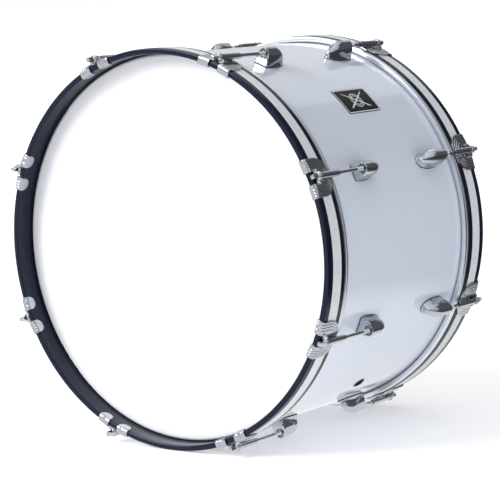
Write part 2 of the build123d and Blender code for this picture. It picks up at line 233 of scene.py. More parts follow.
def add_noise(tree, scale, detail=3.0, stretch=(1, 1, 1)):
    """A fine irregular pattern that stays with the object."""
    coords = tree.nodes.new("ShaderNodeTexCoord")
    mapping = tree.nodes.new("ShaderNodeMapping")
    mapping.inputs["Scale"].default_value = stretch
    noise = tree.nodes.new("ShaderNodeTexNoise")
    noise.inputs["Scale"].default_value = scale
    noise.inputs["Detail"].default_value = detail
    tree.links.new(coords.outputs["Object"], mapping.inputs["Vector"])
    tree.links.new(mapping.outputs["Vector"], noise.inputs["Vector"])
    return noise


def map_range(tree, socket, low, high, start, end):
    """Rescales a value so that low to high becomes start to end."""
    node = tree.nodes.new("ShaderNodeMapRange")
    node.inputs["From Min"].default_value = low
    node.inputs["From Max"].default_value = high
    node.inputs["To Min"].default_value = start
    node.inputs["To Max"].default_value = end
    tree.links.new(socket, node.inputs["Value"])
    return node.outputs["Result"]


def vary(tree, shader, socket, noise, low, high):
    """Drives one shader value between low and high by a noise."""
    value = map_range(tree, noise.outputs["Fac"], NOISE_FROM, NOISE_TO, low, high)
    tree.links.new(value, shader.inputs[socket])


def tint(tree, shader, noise, dark, light):
    """Blends the base colour between two close tones by a noise."""
    ramp = tree.nodes.new("ShaderNodeValToRGB")
    ramp.color_ramp.elements[0].position = TINT_FROM
    ramp.color_ramp.elements[0].color = (*dark, 1)
    ramp.color_ramp.elements[1].position = TINT_TO
    ramp.color_ramp.elements[1].color = (*light, 1)
    tree.links.new(noise.outputs["Fac"], ramp.inputs["Fac"])
    tree.links.new(ramp.outputs["Color"], shader.inputs["Base Color"])


def bump(tree, shader, noise, strength, distance):
    """Raises the surface a little by a noise. The distance is in metres."""
    node = tree.nodes.new("ShaderNodeBump")
    node.inputs["Strength"].default_value = strength
    node.inputs["Distance"].default_value = distance
    tree.links.new(noise.outputs["Fac"], node.inputs["Height"])
    tree.links.new(node.outputs["Normal"], shader.inputs["Normal"])


# ---- materials ----
def white_wrap():
    """Glossy white covering: hard, a little cool, with a faint ripple."""
    material, tree, shader = new_material("gloss_white_wrap", (0.72, 0.78, 0.88), 0.10)
    shader.inputs["Coat Weight"].default_value = 0.6
    shader.inputs["Coat Roughness"].default_value = 0.03
    ripple = add_noise(tree, 14.0, 2.0)
    bump(tree, shader, ripple, 0.05, 0.001)
    haze = add_noise(tree, 40.0, 5.0)
    vary(tree, shader, "Roughness", haze, 0.07, 0.14)
    tint(tree, shader, add_noise(tree, 3.0), (0.715, 0.775, 0.875), (0.725, 0.785, 0.885))
    return material


def head_white():
    """Smooth white drum film with a soft sheen and faint strike haze."""
    material, tree, shader = new_material("white_head_film", (0.90, 0.91, 0.93), 0.32)
    fine = add_noise(tree, 900.0, 2.0)
    bump(tree, shader, fine, 0.04, 0.0003)
    vary(tree, shader, "Roughness", add_noise(tree, 40.0, 3.0), 0.32, 0.36)
    tint(tree, shader, add_noise(tree, 2.5), (0.895, 0.91, 0.935), (0.905, 0.92, 0.94))
    return material


def hoop_black():
    """Thick black lacquer with a blue cast."""
    material, tree, shader = new_material("black_hoop_lacquer", (0.005, 0.007, 0.021), 0.16)
    shader.inputs["Specular IOR Level"].default_value = 0.25
    shader.inputs["Specular Tint"].default_value = (0.72, 0.84, 1.0, 1)
    shader.inputs["Coat Weight"].default_value = 0.08
    shader.inputs["Coat Roughness"].default_value = 0.04
    bump(tree, shader, add_noise(tree, 60.0, 2.0), 0.03, 0.0006)
    vary(tree, shader, "Roughness", add_noise(tree, 80.0, 6.0), 0.08, 0.16)
    return material


def stripe_silver():
    """Pale plastic inlay with a very fine sparkle."""
    material, tree, shader = new_material("pale_stripe", (0.62, 0.65, 0.67), 0.3)
    tint(tree, shader, add_noise(tree, 1800.0, 2.0), (0.66, 0.70, 0.73), (0.78, 0.82, 0.85))
    vary(tree, shader, "Roughness", add_noise(tree, 50.0, 4.0), 0.24, 0.38)
    return material


def bright_metal(name, color, low, high, scale=220.0, depth=0.02):
    """Plated or polished metal, its haze between low and high, with faint polishing marks."""
    material, tree, shader = new_material(name, color, low, 1.0)
    vary(tree, shader, "Roughness", add_noise(tree, scale, 6.0), low, high)
    bump(tree, shader, add_noise(tree, scale * 0.4, 2.0), depth, 0.0004)
    return material


def dark_rubber():
    """Matt dark rubber."""
    material, tree, shader = new_material("gasket_rubber", (0.02, 0.02, 0.022), 0.7)
    bump(tree, shader, add_noise(tree, 700.0), 0.2, 0.0003)
    return material


def plain_wood():
    """Pale maple plies, with grain running round the shell."""
    material, tree, shader = new_material("shell_wood", (0.62, 0.44, 0.27), 0.45)
    grain = add_noise(tree, 18.0, 8.0, (1, 14, 1))
    tint(tree, shader, grain, (0.52, 0.35, 0.20), (0.70, 0.52, 0.33))
    bump(tree, shader, grain, 0.15, 0.0006)
    return material


def badge_black():
    """Black enamel with a dull shine."""
    material, tree, shader = new_material("badge_black_enamel", (0.006, 0.0065, 0.010), 0.3)
    shader.inputs["Specular IOR Level"].default_value = 0.2
    vary(tree, shader, "Roughness", add_noise(tree, 150.0, 5.0), 0.25, 0.4)
    return material


MATERIALS = {
    "white_wrap": white_wrap(),
    "white_head": head_white(),
    "black_hoop": hoop_black(),
    "silver_stripe": stripe_silver(),
    "bright_aluminium": bright_metal(
        "bright_aluminium", (0.80, 0.83, 0.88), 0.30, 0.36, scale=60.0, depth=0.01,
    ),
    "chrome_claw": bright_metal("claw_chrome", (0.50, 0.52, 0.56), 0.08, 0.18),
    "chrome_rod": bright_metal("rod_chrome", (0.56, 0.59, 0.63), 0.06, 0.15),
    "chrome_lug": bright_metal("lug_chrome", (0.50, 0.54, 0.59), 0.05, 0.13),
    "chrome_trim": bright_metal("trim_chrome", (0.70, 0.72, 0.75), 0.08, 0.18),
    # nickel brass nut, darkened well below the bare metal: partly its own dull tone, partly painted
    # shade of the deep bore round the rod
    "nut_brass": bright_metal("nickel_brass_with_painted_shade", (0.30, 0.28, 0.25), 0.2, 0.35),
    "spring_steel": bright_metal("spring_steel", (0.35, 0.35, 0.36), 0.25, 0.4),
    "steel_fastener": bright_metal("zinc_steel", (0.55, 0.56, 0.58), 0.25, 0.4),
    "gasket_rubber": dark_rubber(),
    "shell_wood": plain_wood(),
    "badge_black": badge_black(),
}


def dress_cad_nodes():
    """Gives every CAD node the material of its slot, and smooth shading."""
    slots = {row["node"]: row["material_slot"] for row in frame["record"]["subparts"]}
    for name, node in frame["nodes"].items():
        node.data.materials.clear()
        node.data.materials.append(MATERIALS[slots[name]])
        node.data.shade_smooth()
        node.data.set_sharp_from_angle(angle=radians(30))


dress_cad_nodes()


# ---- hoop, stripe and flesh hoop ----
STRIPE_GAP = 0.15              # hairline along each edge of the stripe
STRIPE_SINK = 0.05             # the stripe's face, below the hoop's
FLESH_HOOP_GAP = 1.6           # between the shell and the flesh hoop
FLESH_HOOP_SOFT = 1.6          # radius of its back edges
BEAD_FROM, BEAD_TO = 3.2, 4.8  # shallow groove round it, behind the wooden hoop
BEAD_DEPTH = 0.7


def hoop_profile():
    """A flat ring, well rounded at the open edge, with a groove for the stripe."""
    edge, back = HOOP_EDGE_ROUND, HOOP_BACK_ROUND
    groove_floor = HOOP_OUTER - STRIPE_DEPTH
    profile = arc(HOOP_INNER + edge, edge, edge, 180, 270, 8)
    profile += arc(HOOP_OUTER - edge, edge, edge, -90, 0, 8)
    profile += [(HOOP_OUTER, STRIPE_FROM), (groove_floor, STRIPE_FROM)]
    profile += [(groove_floor, STRIPE_TO), (HOOP_OUTER, STRIPE_TO)]
    profile += arc(HOOP_OUTER - back, HOOP_WIDTH - back, back, 0, 90, 6)
    profile += arc(HOOP_INNER + back, HOOP_WIDTH - back, back, 90, 180, 6)
    return profile


def stripe_profile():
    """The inlay: flush, with softened edges that leave a hairline each side."""
    top = HOOP_OUTER - STRIPE_SINK
    low = HOOP_OUTER - STRIPE_DEPTH + STRIPE_SINK
    start = STRIPE_FROM + STRIPE_GAP
    end = STRIPE_TO - STRIPE_GAP
    drop, bevel = 0.2, 0.3
    return [
        (low, start),
        (top - drop, start),
        (top, start + bevel),
        (top, end - bevel),
        (top - drop, end),
        (low, end),
    ]


def flesh_hoop_profile():
    """Extruded metal ring with a rounded back and a shallow bead groove."""
    outer = FLESH_HOOP_OUTER
    inner = SHELL_RADIUS + FLESH_HOOP_GAP
    back = FLESH_HOOP_BACK
    soft = FLESH_HOOP_SOFT
    chamfer, slope = 0.4, 0.5
    profile = [(inner, HOOP_WIDTH), (outer - chamfer, HOOP_WIDTH), (outer, HOOP_WIDTH + chamfer)]
    profile += [
        (outer, HOOP_WIDTH + BEAD_FROM),
        (outer - BEAD_DEPTH, HOOP_WIDTH + BEAD_FROM + slope),
        (outer - BEAD_DEPTH, HOOP_WIDTH + BEAD_TO - slope),
        (outer, HOOP_WIDTH + BEAD_TO),
    ]
    profile += arc(outer - soft, back - soft, soft, 0, 90, 6)
    profile += arc(inner + soft, back - soft, soft, 90, 180, 6)
    return profile


def add_rings(side):
    """The wooden hoop, its stripe and the flesh hoop of one side."""
    for kind, profile, node, slot in (
        ("hoop_ring", hoop_profile(), "hoop", "black_hoop"),
        ("stripe_ring", stripe_profile(), "hoop_stripe", "silver_stripe"),
        ("flesh_ring", flesh_hoop_profile(), "flesh_hoop", "bright_aluminium"),
    ):
        name = f"{side}_{kind}"
        mesh = turned(profile).mesh(name)
        add_piece(name, mesh, side_matrix(side), side + "_head_assembly", slot, f"{side}_{node}")


for side in SIDES:
    add_rings(side)


# ---- lugs, drawn with their rod side at Y = 0 and heights measured from the shell ----
LUG_FACE_HALF = 12.0           # half width of the foot at the rod side
LUG_FACE_CORNER = 3.5          # corner radius of the foot there
LUG_FACE_TUCK = 0.6            # share of that corner by which the foot narrows
LUG_FACE_SOFT = 0.8            # rounding between the rod side and the crown
LUG_WIDEST_HALF = 13.0
LUG_WIDEST_AT = 18.0
LUG_NOSE_POWERS = (2.2, 0.56)  # how the foot rounds in to the nose
LUG_LEVEL_TO = 22.0            # the crown runs level to here, then falls to the nose
LUG_TIP = LUG_LENGTH - 3.0     # where the crown's point is, above the blunt nose
LUG_TIP_HEIGHT = 13.0
LUG_FALL_POWER = 1.9           # how the crown falls from level to the tip
LUG_ARCH_POWER = 2.5           # how square the crown is across
LUG_LIP_HEIGHT = 1.8           # rounded lip round the foot
LUG_LIP_WIDTH = 0.7
LUG_LIP_SHARE = 0.4            # a lip takes no more than this share of the height
LUG_CREASE_FROM = 7.0          # where the crease that bounds the crown leaves the foot
LUG_CREASE_LOW = 0.12          # share of its full height at which it starts
LUG_CREASE_TOP = 0.93          # share of the tip's height at which it ends
LUG_FLARE = 1.9                # how far the petal below the crease curves in
LUG_FLARE_FULL_AT = 0.4        # share of the crease's length at which it does so fully
LUG_FLARE_POWER = 1.2
LUG_FLARE_FADE = 0.4           # how much less it curves in at the crease itself
LUG_BORE = ((8.0, 0.0), (7.6, 0.5), (6.9, 0.5), (6.5, 1.3), (6.5, 8.0))   # radius, depth
FOLLOWS_SHELL_TO = 10.0        # height at which a lug no longer takes the shell's curve
PAD_HEIGHT = 1.2
PAD_MARGIN = 0.6
NEARLY_ONE = 0.9995            # stops a nose short of the point where it has no width


def lug_half_width(y):
    """Half width of a lug's foot: a little waisted at the rod side, round at the nose."""
    if y < LUG_WIDEST_AT:
        inside = max(LUG_FACE_CORNER - y, 0.0)
        corner = LUG_FACE_CORNER - sqrt(LUG_FACE_CORNER ** 2 - inside ** 2)
        swell = (LUG_WIDEST_HALF - LUG_FACE_HALF) * sin(y / LUG_WIDEST_AT * pi / 2)
        return LUG_FACE_HALF + swell - LUG_FACE_TUCK * corner
    t = min((y - LUG_WIDEST_AT) / (LUG_LENGTH - LUG_WIDEST_AT), NEARLY_ONE)
    along, across = LUG_NOSE_POWERS
    return LUG_WIDEST_HALF * (1 - t ** along) ** across


def lug_height(y):
    """Height of the crown: level, then a fall to the tip, then the round of the nose."""
    if y < LUG_LEVEL_TO:
        return LUG_HEIGHT
    if y < LUG_TIP:
        t = (y - LUG_LEVEL_TO) / (LUG_TIP - LUG_LEVEL_TO)
        return LUG_HEIGHT - (LUG_HEIGHT - LUG_TIP_HEIGHT) * t ** LUG_FALL_POWER
    t = min((y - LUG_TIP) / (LUG_LENGTH - LUG_TIP), NEARLY_ONE)
    return LUG_TIP_HEIGHT * sqrt(1 - t * t)


def lug_section(y):
    """Half section of a lug: a lip, a flared petal, a crease, and an arched crown above it."""
    width, height = lug_half_width(y), lug_height(y)
    lip = min(LUG_LIP_HEIGHT, height * LUG_LIP_SHARE)
    rise = min(max((y - LUG_CREASE_FROM) / (LUG_TIP - LUG_CREASE_FROM), 0.0), 1.0)
    crease_share = LUG_CREASE_LOW + (1 - LUG_CREASE_LOW) * rise
    crease = lip + (LUG_CREASE_TOP * height - lip) * crease_share
    flare = LUG_FLARE * min(rise / LUG_FLARE_FULL_AT, 1.0) * width / LUG_WIDEST_HALF
    thinnest = 0.02
    lip_low, lip_top, above_lip = PAD_HEIGHT + 0.05, PAD_HEIGHT + 0.1, PAD_HEIGHT + 0.2

    def arch(h):
        return width * sqrt(max(1 - (h / height) ** LUG_ARCH_POWER, 0.0))

    points = [
        (width + LUG_LIP_WIDTH, PAD_HEIGHT),
        (width + LUG_LIP_WIDTH, max(lip * 0.7, lip_low)),
        (width + 0.1, max(lip, lip_top)),
    ]
    steps = 6
    for k in range(1, steps + 1):
        u = k / steps
        h = lip + (crease - lip) * u
        curve_in = flare * sin(pi * u) ** LUG_FLARE_POWER * (1 - LUG_FLARE_FADE * u)
        points.append((max(arch(h) - curve_in, thinnest), max(h, lip_top + 0.01 * k)))
    steps = 14
    for k in range(1, steps + 1):
        h = crease + (height - crease) * sin(pi / 2 * k / steps)
        points.append((arch(h) if k < steps else 0.0, max(h, above_lip)))
    return points


def lug_ring(y):
    """A whole section of a lug, its foot following the shell."""
    half = lug_section(y)
    ring = []
    for x, h in half + [(-x, h) for x, h in reversed(half[:-1])]:
        follow = max(1 - h / FOLLOWS_SHELL_TO, 0)
        ring.append((x, y, sqrt(SHELL_RADIUS ** 2 - x * x * follow) + h))
    return ring


def lug_mesh():
    """Bullet lug: flat rod side with a stepped hole, arched crown, pointed above a blunt nose."""
    steps = 40
    crowding, last_share = 0.95, 0.9998   # closer together towards the nose, and just short of it
    rings = []
    for k in range(steps + 1):
        share = min(sin(k / steps * pi / 2) ** crowding, last_share)
        rings.append(lug_ring(LUG_FACE_SOFT + (LUG_LENGTH - LUG_FACE_SOFT) * share))
    rings.reverse()
    middle = SHELL_RADIUS + LUG_HEIGHT * 0.5
    shrink = 0.95
    rim = [(x * shrink, y, z * shrink + middle * (1 - shrink)) for x, y, z in lug_ring(0.0)]
    rings.append(rim)
    angles = [atan2(z - ROD_LINE, x) for x, y, z in rim]
    for radius, depth in LUG_BORE:
        rings.append([(radius * cos(a), depth, ROD_LINE + radius * sin(a)) for a in angles])
    shape = Shape()
    shape.loops(rings, cap_start=True, cap_end=True)
    return shape.mesh("bullet_lug", 18.0)


def pad_mesh():
    """Thin rubber pad, a little larger than the lug's foot."""
    rings = []
    steps = 24
    low_gap, top_gap, taper = 0.05, PAD_HEIGHT - 0.05, 0.985
    for k in range(steps + 1):
        y = LUG_LENGTH * min(1 - cos(k / steps * pi), 1.996) / 2
        width = lug_half_width(y) + PAD_MARGIN
        edge = sqrt(SHELL_RADIUS ** 2 - width * width)
        crown = width * width / 2 / SHELL_RADIUS
        low = [(width * u, edge + crown * (1 - u * u)) for u in (1, 0.5, 0, -0.5, -1)]
        ring = [(x, y, z + low_gap) for x, z in low]
        ring += [(x * taper, y, z + top_gap) for x, z in reversed(low)]
        rings.append(ring)
    shape = Shape()
    shape.loops(rings, cap_start=True, cap_end=True)
    return shape.mesh("lug_pad", 30.0)


def add_lugs():
    """A lug and its pad at every station of both sides."""
    lug, pad = lug_mesh(), pad_mesh()
    for side in SIDES:
        shift = Matrix.Translation((0, LUG_FACE[side] * MM, 0))
        for number in range(1, STATIONS + 1):
            place = side_matrix(side, station_angle(number)) @ shift
            lug_name, pad_name = f"{side}_lug_{number}", f"{side}_lug_pad_{number}"
            add_piece(lug_name, lug, place, "shell", "chrome_lug", side + "_lugs")
            add_piece(pad_name, pad, place, "shell", "gasket_rubber", "lug_gaskets")


add_lugs()


# ---- claws ----
WING_HALF = 28.3               # half width of a claw, across both wings
WING_ROUND = 23.0              # radius of a wing's corner
WING_STRAIGHT = 18.0           # depth at which that corner starts
HOOK_INNER_X = 8.8             # half width of the notch between the two hooks
HOOK_BEND = 2.5
HOOK_GAP = 0.3
SADDLE_FRONT = 4.4
RIB_GROOVES = (4.3, 8.3, 12.6)  # distances in from a wing's edge
RIB_STEP = 0.30                # each band stands this much above the last
GROOVE_DEPTH, GROOVE_HALF = 0.55, 0.55
EDGE_DROP, EDGE_SOFT = 0.45, 0.6
WING_BAND = WING_HALF - HOOK_INNER_X
TAB_RADIUS = HOOP_INNER - HOOK_GAP
TAB_CENTRE = 0.8               # depth at which a tab starts to round off
TAB_ROUND = 12.3               # length of its rounded end
TAB_RIDGE_HEIGHT, TAB_RIDGE_HALF = 0.7, 1.2
TAB_STEPS, BEND_STEPS, STRAIGHT_STEPS, CORNER_STEPS = 12, 8, 4, 18
BEND_RIBS = 0.4                # strength of the ribs where the two bends meet
BRIDGE_FROM, BRIDGE_TO = 5.6, 8.6
BRIDGE_HALF = 11.0
BRIDGE_TOP_RADIUS = 6.3
TUBE_RADIUS = 4.75
TUBE_BORE = 3.3
WEB_SECTIONS = ((BRIDGE_TO - 0.4, 3.4, 0.0), (26.0, 3.2, 0.0), (34.0, 2.8, -0.4), (40.0, 2.2, -2.6))


def wing_depths():
    """Distances in from the edge at which a wing is drawn."""
    depths = [0.0, 0.25, EDGE_SOFT]
    for groove in RIB_GROOVES:
        depths += [groove - 1.6, groove - GROOVE_HALF, groove, groove + GROOVE_HALF]
    return depths + [WING_BAND - 3.0, WING_BAND - 0.3, WING_BAND]


def rib_lift(depth, strength):
    """Height of a wing's face at a distance in from its edge: stepped bands split by grooves."""
    steps = sum(1 for groove in RIB_GROOVES if depth > groove)
    groove = max(max(0.0, 1 - abs(depth - g) / GROOVE_HALF) for g in RIB_GROOVES)
    edge = EDGE_DROP * max(0.0, 1 - depth / EDGE_SOFT) ** 2
    return CLAW_PLATE + strength * (RIB_STEP * steps - GROOVE_DEPTH * groove) - edge


def tab_ridge(depth):
    """Height of the fine ridge down the middle of a hook."""
    return TAB_RIDGE_HEIGHT * max(0.0, 1 - abs(depth - WING_BAND / 2) / TAB_RIDGE_HALF)


def wing_ring(point, ribs, ridge=0.0):
    """One section of a wing: the face from edge to notch, and the underside back again."""
    face = [point(d, rib_lift(d, ribs) + ridge * tab_ridge(d)) for d in wing_depths()]
    under = [point(WING_BAND * share, 0.0) for share in (1.0, 0.75, 0.5, 0.25, 0.0)]
    return [(x, y, sqrt(max(r * r - x * x, 1.0))) for x, y, r in face + under]


def tab_rings():
    """The half-round tab inside the hoop, from its tip to the bend."""
    middle = (WING_HALF + HOOK_INNER_X) / 2
    ridge_from = 3
    rings = []
    for k in range(TAB_STEPS + 1):
        a = pi / 2 * (1 - k / TAB_STEPS)
        squeeze = max(cos(a), 0.02)
        thin = 0.55 + 0.45 * cos(a) ** 0.5
        y = TAB_CENTRE + TAB_ROUND * sin(a)

        def point(d, lift):
            return middle + (WING_BAND / 2 - d) * squeeze, y, TAB_RADIUS - lift * thin

        rings.append(wing_ring(point, 0.0, max(k - ridge_from, 0) / (TAB_STEPS - ridge_from)))
    return rings


def bend_rings():
    """The two quarter bends that take a hook round the hoop's open edge."""
    centre_y = HOOK_BEND - HOOK_GAP
    rings = []
    for k in range(1, BEND_STEPS + 1):
        a = pi / 2 * k / BEND_STEPS

        def inner_point(d, lift):
            reach = HOOK_BEND + lift
            return WING_HALF - d, centre_y - reach * sin(a), TAB_RADIUS + HOOK_BEND - reach * cos(a)

        share = k / BEND_STEPS
        rings.append(wing_ring(inner_point, BEND_RIBS * share, 1.0 - 0.4 * share))
    for k in range(0, BEND_STEPS + 1):
        a = pi / 2 * k / BEND_STEPS

        def outer_point(d, lift):
            reach = HOOK_BEND + lift
            return WING_HALF - d, centre_y - reach * cos(a), CLAW_INNER - HOOK_BEND + reach * sin(a)

        share = k / BEND_STEPS
        rings.append(wing_ring(outer_point, BEND_RIBS + (1 - BEND_RIBS) * share, 0.6 * (1 - share)))
    return rings


def saddle_rings():
    """The straight part of the saddle, its round corner, and the run to the middle."""
    rings = []
    for k in range(1, STRAIGHT_STEPS + 1):
        y = SADDLE_FRONT + (WING_STRAIGHT - SADDLE_FRONT) * k / STRAIGHT_STEPS
        rings.append(wing_ring(lambda d, lift: (WING_HALF - d, y, CLAW_INNER + lift), 1.0))
    corner_x = WING_HALF - WING_ROUND
    for k in range(1, CORNER_STEPS + 1):
        a = pi / 2 * k / CORNER_STEPS

        def corner_point(d, lift):
            reach = WING_ROUND - d
            return corner_x + reach * cos(a), WING_STRAIGHT + reach * sin(a), CLAW_INNER + lift

        rings.append(wing_ring(corner_point, 1.0))
    end = WING_STRAIGHT + WING_ROUND
    for x in (corner_x / 2, 0.0):
        rings.append(wing_ring(lambda d, lift: (x, end - d, CLAW_INNER + lift), 1.0))
    return rings


def wing(shape, sign):
    """One wing and its hook, swept from the tab round the hoop's edge and over its outside."""
    rings = tab_rings() + bend_rings() + saddle_rings()
    rings = [[(sign * x, y, z) for x, y, z in ring] for ring in rings]
    shape.loops(rings, cap_start=True, cap_end=True)


def bridge(shape):
    """The upright bar across the claw that carries the front end of the tube."""
    foot, top, half = CLAW_INNER + 0.8, ROD_LINE - 0.2, BRIDGE_HALF
    soft = 2.2
    outline = arc(-half + soft, foot + soft, soft, 270, 180, 4)
    outline += arc(-half + soft, top - soft, soft, 180, 90, 4)
    outline += arc(0, ROD_LINE, BRIDGE_TOP_RADIUS, 178, 2, 18)
    outline += arc(half - soft, top - soft, soft, 90, 0, 4)
    outline += arc(half - soft, foot + soft, soft, 0, -90, 4)
    middle_z = ROD_LINE - 2.0
    reach = 9.0

    def ring(y, shrink):
        scale = 1 - shrink / reach
        return [(x * scale, y, middle_z + (z - middle_z) * scale) for x, z in outline]

    edge = 0.6
    rings = [
        ring(BRIDGE_FROM, edge),
        ring(BRIDGE_FROM + edge, 0),
        ring(BRIDGE_TO - edge, 0),
        ring(BRIDGE_TO, edge),
    ]
    shape.loops(rings, cap_start=True, cap_end=True)


def tube(shape):
    """The rod tube, with a rolled rim and an open bore at its inner end."""
    start = BRIDGE_TO - 0.5
    rings = [
        rod_ring(TUBE_RADIUS, start),
        rod_ring(TUBE_RADIUS, TUBE_END - 5.0),
        rod_ring(TUBE_RADIUS - 0.9, TUBE_END - 1.0),
        rod_ring(TUBE_RADIUS - 1.2, TUBE_END - 0.2),
        rod_ring(TUBE_BORE + 0.3, TUBE_END - 0.1),
        rod_ring(TUBE_BORE, TUBE_END - 0.7),
        rod_ring(TUBE_BORE, start),
    ]
    shape.loops(rings, closed_across=True)


def web(shape):
    """The rib that joins the tube to the saddle, sloping away at its inner end."""
    foot = CLAW_INNER + 0.5
    top = ROD_LINE - TUBE_RADIUS + 1.2
    spread, spread_height, taper = 0.9, 1.4, 0.3
    rings = []
    for y, half, lift in WEB_SECTIONS:
        rings.append([
            (-half - spread, y, foot),
            (-half, y, foot + spread_height),
            (-half + taper, y, top + lift),
            (half - taper, y, top + lift),
            (half, y, foot + spread_height),
            (half + spread, y, foot),
        ])
    shape.loops(rings, cap_start=True, cap_end=True)


def claw_mesh():
    """A double claw: two ribbed wings with their hooks, a bridge, the rod tube and its web."""
    shape = Shape()
    for sign in (-1, 1):
        wing(shape, sign)
    bridge(shape)
    tube(shape)
    web(shape)
    return shape.mesh("double_claw", 28.0)


# ---- rods and washers ----
KEY_HALF = 3.1                 # half width of the square head
FLANGE_RADIUS = 6.0
FLANGE_BACK = 4.4
SHANK_RADIUS = 2.8
THREAD_ROOT = 2.35
THREAD_PITCH = 1.0
THREAD_LEAD = 14.0             # the thread starts this far outside the lug
WASHER_FROM, WASHER_TO = 4.5, 5.95
WASHER_BORE, WASHER_RADIUS = 3.4, 6.4
WASHER_SOFT = 0.35


def rod_mesh(side):
    """Tension rod: square key head, domed flange, plain shank, threaded end."""
    low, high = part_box(side + "_tension_rod_1")
    end = ROD_HEAD_TOP + (high.y - low.y) / MM
    rings = [
        rod_ring(KEY_HALF - 1.1, ROD_HEAD_TOP, power=6.0),
        rod_ring(KEY_HALF - 0.35, ROD_HEAD_TOP + 0.25, power=7.0),
        rod_ring(KEY_HALF, ROD_HEAD_TOP + 1.0, power=9.0),
        rod_ring(KEY_HALF, FLANGE_BACK - 3.6, power=9.0),
        rod_ring(KEY_HALF + 0.7, FLANGE_BACK - 2.7, power=3.0),
        rod_ring(FLANGE_RADIUS - 1.4, FLANGE_BACK - 2.1),
        rod_ring(FLANGE_RADIUS - 0.3, FLANGE_BACK - 1.5),
        rod_ring(FLANGE_RADIUS, FLANGE_BACK - 1.0),
        rod_ring(FLANGE_RADIUS - 0.1, FLANGE_BACK - 0.1),
        rod_ring(FLANGE_RADIUS - 0.5, FLANGE_BACK),
        rod_ring(SHANK_RADIUS, FLANGE_BACK),
    ]
    thread_from = LUG_FACE[side] - THREAD_LEAD
    rings.append(rod_ring(SHANK_RADIUS, thread_from))
    for k in range(int((end - 1.0 - thread_from) / THREAD_PITCH)):
        y = thread_from + THREAD_PITCH * k
        rings.append(rod_ring(THREAD_ROOT, y + 0.5 * THREAD_PITCH))
        rings.append(rod_ring(SHANK_RADIUS, y + THREAD_PITCH))
    rings += [rod_ring(SHANK_RADIUS - 0.6, end - 0.6), rod_ring(SHANK_RADIUS - 1.2, end)]
    shape = Shape()
    shape.loops(rings, cap_start=True, cap_end=True)
    return shape.mesh(side + "_key_rod", 35.0)


def washer_mesh():
    """A flat washer with softened edges."""
    soft = WASHER_SOFT
    profile = [
        (WASHER_BORE, WASHER_FROM + soft),
        (WASHER_BORE + soft, WASHER_FROM),
        (WASHER_RADIUS - soft, WASHER_FROM),
        (WASHER_RADIUS, WASHER_FROM + soft),
        (WASHER_RADIUS, WASHER_TO - soft),
        (WASHER_RADIUS - soft, WASHER_TO),
        (WASHER_BORE + soft, WASHER_TO),
        (WASHER_BORE, WASHER_TO - soft),
    ]
    shape = Shape()
    shape.loops([rod_ring(radius, y) for radius, y in profile], closed_across=True)
    return shape.mesh("rod_washer", 40.0)


def add_claws_and_rods():
    """A claw, a rod and its washer at every station of both sides."""
    claw, washer = claw_mesh(), washer_mesh()
    for side in SIDES:
        rod = rod_mesh(side)
        assembly = side + "_head_assembly"
        for number in range(1, STATIONS + 1):
            place = side_matrix(side, station_angle(number))
            claw_node = f"{side}_claw_{number}"
            rod_node = f"{side}_tension_rod_{number}"
            washer_name = f"{side}_washer_{number}"
            add_piece(claw_node + "_plated", claw, place, assembly, "chrome_claw", claw_node)
            add_piece(rod_node + "_plated", rod, place, rod_node, "chrome_rod", rod_node)
            add_piece(washer_name, washer, place, assembly, "steel_fastener", side + "_rod_washers")


add_claws_and_rods()


# ---- badge and air vent ----
BADGE_ANGLE = radians(44.3)
BADGE_AT = HALF_DEPTH + 16.0
BADGE_LENGTH, BADGE_WIDTH = 81.0, 46.5
BADGE_CORNER = 3.0
BADGE_TOP = 0.9
BADGE_BEVEL = 0.35
BADGE_INSETS = (3, 8, 14, 20, 23)   # rings across the face, so that it bends with the shell
BORDER_INSET, BORDER_HALF = 1.6, 0.9
LINE_FOOT, LINE_TOP = 0.85, 0.98    # heights of the raised lines
DRUM_RADII = (12.5, 8.8)
DRUM_LINE_HALF = 0.8
STICK_FROM, STICK_TO = (-15.5, 26.0), (14.0, -24.0)
STICK_TIP_HALF, STICK_BUTT_HALF = 0.8, 1.7
VENT_ANGLE = radians(140.6)
VENT_AT = HALF_DEPTH + 22.0
EYELET_PROFILE = (                  # radius, height above the shell
    (9.4, 0.1), (9.3, 0.7), (8.6, 1.3), (7.6, 1.5),
    (6.7, 1.2), (6.1, 0.3), (6.05, -6.0), (7.1, -6.0),
)


def on_badge(across, depth, lift):
    """A point above the shell, measured from the badge's middle, across being round the shell."""
    a = across / SHELL_RADIUS
    r = SHELL_RADIUS + lift
    return (r * sin(a), BADGE_AT + depth, r * cos(a))


def rounded_outline(half_across, half_depth, radius):
    """A rectangle with round corners, with points close enough to bend round the shell."""
    steps, spacing = 6, 4.0
    outline = arc(half_across - radius, half_depth - radius, radius, 0, 90, steps)
    outline += arc(-half_across + radius, half_depth - radius, radius, 90, 180, steps)
    outline += arc(-half_across + radius, -half_depth + radius, radius, 180, 270, steps)
    outline += arc(half_across - radius, -half_depth + radius, radius, 270, 360, steps)
    dense = []
    for (x0, y0), (x1, y1) in zip(outline, outline[1:] + outline[:1]):
        pieces = max(1, int(hypot(x1 - x0, y1 - y0) / spacing))
        for k in range(pieces):
            dense.append((x0 + (x1 - x0) * k / pieces, y0 + (y1 - y0) * k / pieces))
    return dense


def badge_mesh():
    """Enamel plate, bent to the shell, with softened edges."""
    across, depth = BADGE_WIDTH / 2, BADGE_LENGTH / 2
    outline = rounded_outline(across, depth, BADGE_CORNER)
    levels = [(0, 0.05), (0, 0.6), (BADGE_BEVEL, BADGE_TOP)]
    levels += [(inset, BADGE_TOP) for inset in BADGE_INSETS]
    rings = []
    for inset, lift in levels:
        k_across, k_depth = (across - inset) / across, (depth - inset) / depth
        rings.append([on_badge(x * k_across, y * k_depth, lift) for x, y in outline])
    shape = Shape()
    shape.loops(rings, cap_start=True, cap_end=True)
    return shape.mesh("badge_enamel", 30.0)


